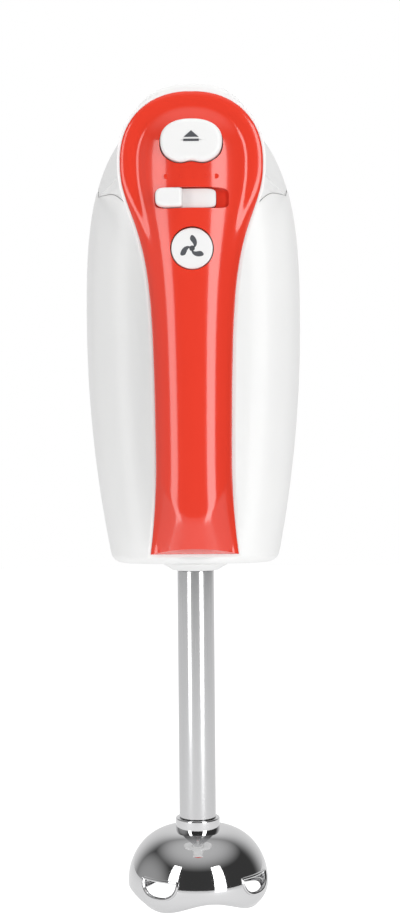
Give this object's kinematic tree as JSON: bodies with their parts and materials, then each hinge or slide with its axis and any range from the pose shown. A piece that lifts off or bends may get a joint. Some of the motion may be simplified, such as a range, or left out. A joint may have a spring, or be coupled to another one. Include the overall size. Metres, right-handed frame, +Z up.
{
  "type": "immersion blender",
  "caption": "Handheld mixer body with a C-shaped handle and a plug-in stainless blending stick ending in a vented, lobed bell over a rotating blade.",
  "frame": {"origin": "middle of the bounding box's bottom, level with the bell's rim", "axes": "+Z up along the motor and stick axis, with the bell at the bottom; -Y towards the handle's red face; X across, the outline being symmetric about X = 0"},
  "size_m": [0.0952, 0.1326, 0.3485],
  "materials": {
    "white_gloss": "moulded gloss",
    "red_gloss": "moulded high gloss",
    "button_white": "moulded satin",
    "polished_steel": "polished stainless steel",
    "brushed_steel": "fine brushed stainless steel",
    "plain_steel": "bare steel",
    "bronze": "sintered bronze",
    "copper": "enamelled copper wire",
    "nylon": "natural nylon",
    "dark_plastic": "moulded satin black",
    "carbon": "pressed carbon",
    "board": "green laminate",
    "seal_rubber": "moulded rubber"
  },
  "bodies": {
    "mixer_body": {"base_shell": "white_gloss", "upper_housing": "white_gloss", "handle_shell": "white_gloss", "handle_cover": "red_gloss", "stick_socket": "nylon", "cord_gland": "dark_plastic", "housing_screw_1": "plain_steel", "housing_screw_2": "plain_steel", "housing_screw_3": "plain_steel", "housing_screw_4": "plain_steel", "slide_track": "button_white", "switch_block": "dark_plastic", "circuit_board": "board", "blend_switch": "dark_plastic", "eject_guide": "nylon", "eject_spring": "plain_steel", "blend_spring": "plain_steel", "stator_core": "plain_steel", "field_coil_front": "copper", "field_coil_back": "copper", "rear_bracket": "plain_steel", "front_bracket": "plain_steel", "rear_bearing": "bronze", "front_bearing": "bronze", "brush_holder_left": "bronze", "brush_holder_right": "bronze", "carbon_brush_left": "carbon", "carbon_brush_right": "carbon", "gearbox_frame": "plain_steel", "gearbox_cover": "plain_steel"},
    "rotor": {"rotor_shaft": "plain_steel", "armature_core": "plain_steel", "armature_winding_rear": "copper", "armature_winding_front": "copper", "commutator": "copper", "cooling_fan": "nylon", "worm": "bronze", "drive_coupling": "nylon"},
    "beater_drive_left": {"worm_wheel_left": "nylon", "beater_spindle_left": "plain_steel"},
    "beater_drive_right": {"worm_wheel_right": "nylon", "beater_spindle_right": "plain_steel"},
    "ejector": {"eject_button": "button_white", "eject_rod": "nylon", "ejector_yoke": "nylon"},
    "speed_switch": {"speed_knob": "button_white"},
    "blend_key": {"blend_button": "button_white"},
    "stick": {"stick_cap": "white_gloss", "stick_tube": "brushed_steel", "bell_guard": "polished_steel", "upper_bush": "seal_rubber", "lower_bush": "nylon", "shaft_seal": "seal_rubber"},
    "stick_drive": {"drive_shaft": "plain_steel", "driven_coupling": "nylon", "blade_spacer": "brushed_steel", "blade": "brushed_steel", "blade_nut": "brushed_steel"}
  },
  "joints": [
    {"name": "motor_spin", "type": "hinge", "parent": "mixer_body", "child": "rotor", "pos_m": [0, 0.02125, 0.18], "axis": [0, 0, 1], "continuous": true},
    {"name": "beater_left_spin", "type": "hinge", "parent": "mixer_body", "child": "beater_drive_left", "pos_m": [-0.0199, 0.02125, 0.306], "axis": [0, -1, 0], "continuous": true},
    {"name": "beater_right_spin", "type": "hinge", "parent": "mixer_body", "child": "beater_drive_right", "pos_m": [0.0199, 0.02125, 0.306], "axis": [0, -1, 0], "continuous": true},
    {"name": "eject_press", "type": "slide", "parent": "mixer_body", "child": "ejector", "axis": [0, 1, 0], "range_m": [0, 0.006], "stiffness_N_per_m": 500, "springref_m": -0.006, "deforming": ["eject_spring"]},
    {"name": "speed_slide", "type": "slide", "parent": "mixer_body", "child": "speed_switch", "axis": [1, 0, 0], "range_m": [0, 0.018]},
    {"name": "blend_press", "type": "slide", "parent": "mixer_body", "child": "blend_key", "axis": [0, 1, 0], "range_m": [0, 0.0025], "stiffness_N_per_m": 500, "springref_m": -0.003, "deforming": ["blend_spring"]},
    {"name": "stick_release", "type": "slide", "parent": "mixer_body", "child": "stick", "axis": [0, 0, -1], "range_m": [0, 0.05]},
    {"name": "blade_spin", "type": "hinge", "parent": "stick", "child": "stick_drive", "pos_m": [0, 0.02125, 0.1], "axis": [0, 0, 1], "continuous": true}
  ],
  "couplings": [
    {"joint": "blade_spin", "follows": "motor_spin", "ratio": 1},
    {"joint": "beater_left_spin", "follows": "motor_spin", "ratio": 0.041667},
    {"joint": "beater_right_spin", "follows": "motor_spin", "ratio": -0.041667}
  ]
}
